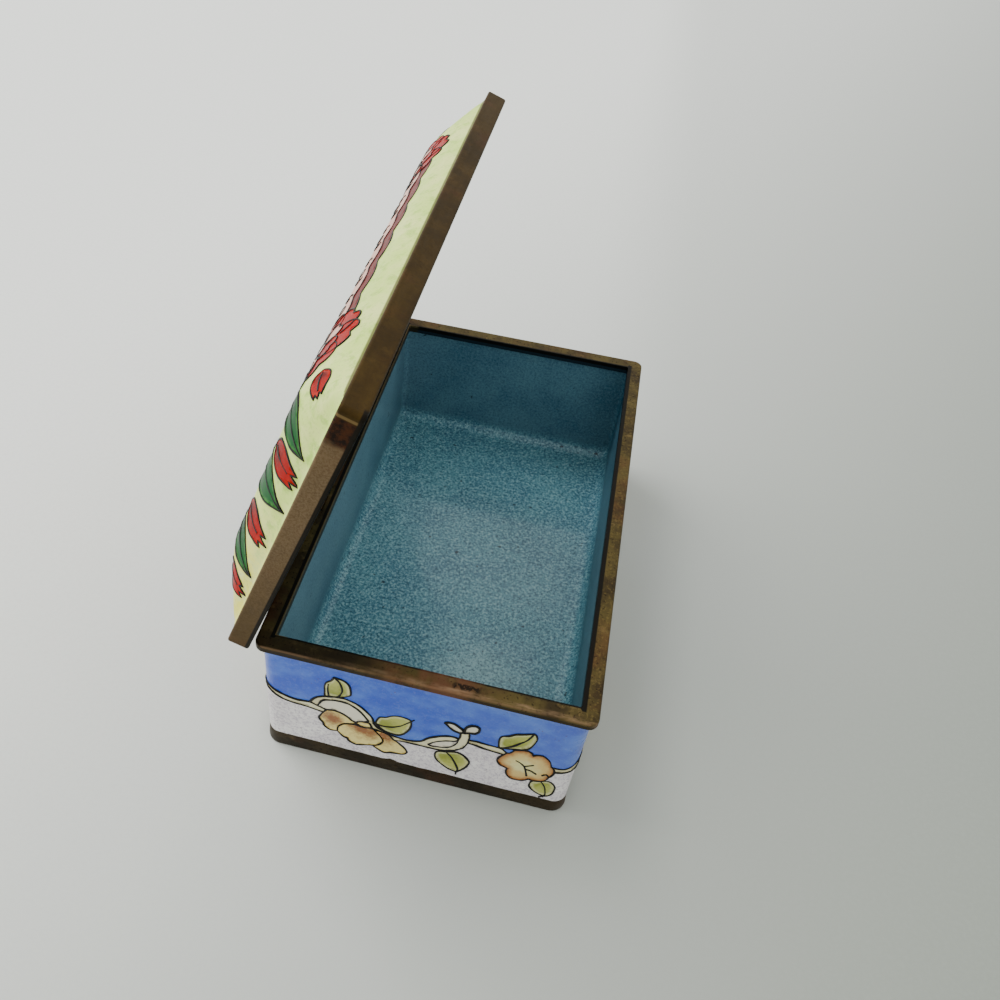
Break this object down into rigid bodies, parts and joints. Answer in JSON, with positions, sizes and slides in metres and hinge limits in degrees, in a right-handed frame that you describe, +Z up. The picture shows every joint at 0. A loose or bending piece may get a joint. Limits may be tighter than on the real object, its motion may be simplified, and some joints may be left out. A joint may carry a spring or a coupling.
{
  "type": "cloisonne enamel box",
  "caption": "Small oblong hinged box of enamelled copper with a domed lid standing open, brass rim, lid band and base pan.",
  "frame": {"origin": "middle of the flat underside of the base pan", "axes": "+X across the box from the hinge side to the opening side, +Y along the box, +Z up"},
  "size_m": [0.0578, 0.0916, 0.0773],
  "materials": {
    "outer_enamel": "glossy polished enamel",
    "lid_enamel": "glossy polished enamel",
    "lining_enamel": "speckled glossy enamel",
    "wire": "darkened",
    "dull_brass": "tarnished",
    "hinge_brass": "worn"
  },
  "bodies": {
    "box": {"box_body": "outer_enamel", "box_rim": "dull_brass", "base_pan": "dull_brass", "hinge_knuckle_1": "hinge_brass", "hinge_knuckle_3": "hinge_brass", "hinge_knuckle_5": "hinge_brass", "hinge_pin": "hinge_brass"},
    "lid": {"lid_band": "dull_brass", "lid_dome": "lid_enamel", "hinge_knuckle_2": "hinge_brass", "hinge_knuckle_4": "hinge_brass"}
  },
  "joints": [
    {"name": "lid_hinge", "type": "hinge", "parent": "box", "child": "lid", "pos_m": [-0.0255, 0, 0.0269], "axis": [0, -1, 0], "range_deg": [-71, 29]}
  ]
}
